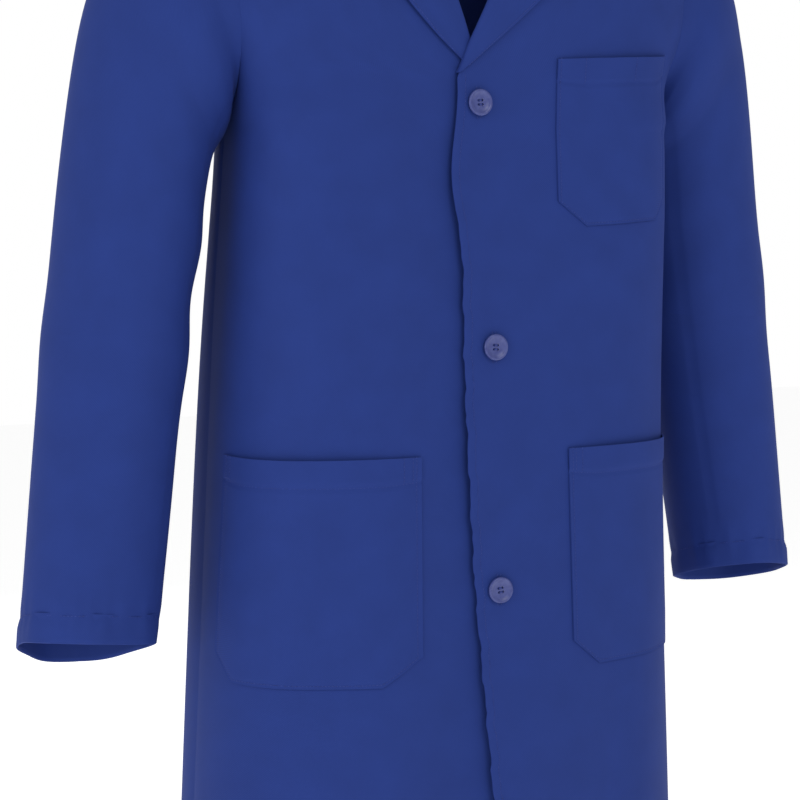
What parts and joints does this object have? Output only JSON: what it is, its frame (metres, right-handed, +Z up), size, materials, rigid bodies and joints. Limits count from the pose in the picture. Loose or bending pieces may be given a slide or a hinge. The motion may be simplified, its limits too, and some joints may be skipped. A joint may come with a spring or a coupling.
{
  "type": "lab coat",
  "caption": "Knee-length work coat with notched lapels, a buttoned centre front, long sleeves, patch pockets on chest and hips, and a back vent.",
  "frame": {"origin": "middle of the neck opening, level with the collar seam at the nape, which rests on the wearer and holds the coat up", "axes": "+Z up the wearer's spine, -Y forwards out of the button front, +X to the wearer's left"},
  "size_m": [0.7536, 0.2903, 1.0611],
  "materials": {
    "coat_twill": "matte woven twill",
    "inside_twill": "matte woven twill, inside face",
    "button_resin": "satin moulded polyester",
    "sewing_thread": "matte spun thread"
  },
  "bodies": {
    "coat": {"left_back": "coat_twill", "right_back": "coat_twill", "back_vent_underlap": "coat_twill", "back_neck_facing": "inside_twill", "hanger_loop": "inside_twill", "left_front_side": "coat_twill", "right_front_side": "coat_twill", "left_front_upper": "coat_twill", "right_front_upper": "coat_twill", "left_lapel": "coat_twill", "right_lapel": "coat_twill", "collar_fall": "coat_twill", "collar_stand": "inside_twill"},
    "left_sleeve": {"left_sleeve_upper": "coat_twill", "left_sleeve_elbow": "coat_twill"},
    "left_forearm": {"left_sleeve_lower": "coat_twill"},
    "right_sleeve": {"right_sleeve_upper": "coat_twill", "right_sleeve_elbow": "coat_twill"},
    "right_forearm": {"right_sleeve_lower": "coat_twill"},
    "left_front_swing": {"left_front": "coat_twill", "left_front_placket": "coat_twill", "left_front_facing": "inside_twill", "left_hip_pocket": "coat_twill", "chest_pocket": "coat_twill"},
    "right_front_swing": {"right_front": "coat_twill", "right_front_facing": "inside_twill", "right_hip_pocket": "coat_twill", "button_2": "button_resin", "button_thread_2": "sewing_thread", "button_3": "button_resin", "button_thread_3": "sewing_thread", "button_1": "button_resin", "button_thread_1": "sewing_thread"},
    "vent_swing": {"back_vent_flap": "coat_twill"}
  },
  "joints": [
    {"name": "left_sleeve_raise", "type": "hinge", "parent": "coat", "child": "left_sleeve", "pos_m": [0.2245, 0, -0.072], "axis": [0, -1, 0], "range_deg": [0, 70]},
    {"name": "right_sleeve_raise", "type": "hinge", "parent": "coat", "child": "right_sleeve", "pos_m": [-0.2245, 0, -0.072], "axis": [0, 1, 0], "range_deg": [0, 70]},
    {"name": "left_elbow", "type": "hinge", "parent": "left_sleeve", "child": "left_forearm", "pos_m": [0.288, 0, -0.43], "axis": [-1, 0, 0], "range_deg": [0, 80], "deforming": ["left_sleeve_elbow"]},
    {"name": "right_elbow", "type": "hinge", "parent": "right_sleeve", "child": "right_forearm", "pos_m": [-0.288, 0, -0.43], "axis": [-1, 0, 0], "range_deg": [0, 80], "deforming": ["right_sleeve_elbow"]},
    {"name": "left_front_open", "type": "hinge", "parent": "coat", "child": "left_front_swing", "pos_m": [0.19012, -0.05367, -0.27], "axis": [-0.05, -0.0032, 0.9987], "range_deg": [0, 60], "deforming": ["left_front_placket", "left_front_facing"]},
    {"name": "right_front_open", "type": "hinge", "parent": "coat", "child": "right_front_swing", "pos_m": [-0.19012, -0.05367, -0.27], "axis": [-0.05, 0.0032, -0.9987], "range_deg": [0, 60]},
    {"name": "back_vent_open", "type": "hinge", "parent": "coat", "child": "vent_swing", "pos_m": [0, 0.11394, -0.65], "axis": [0.3126, 0.014, -0.9498], "range_deg": [0, 45]}
  ]
}
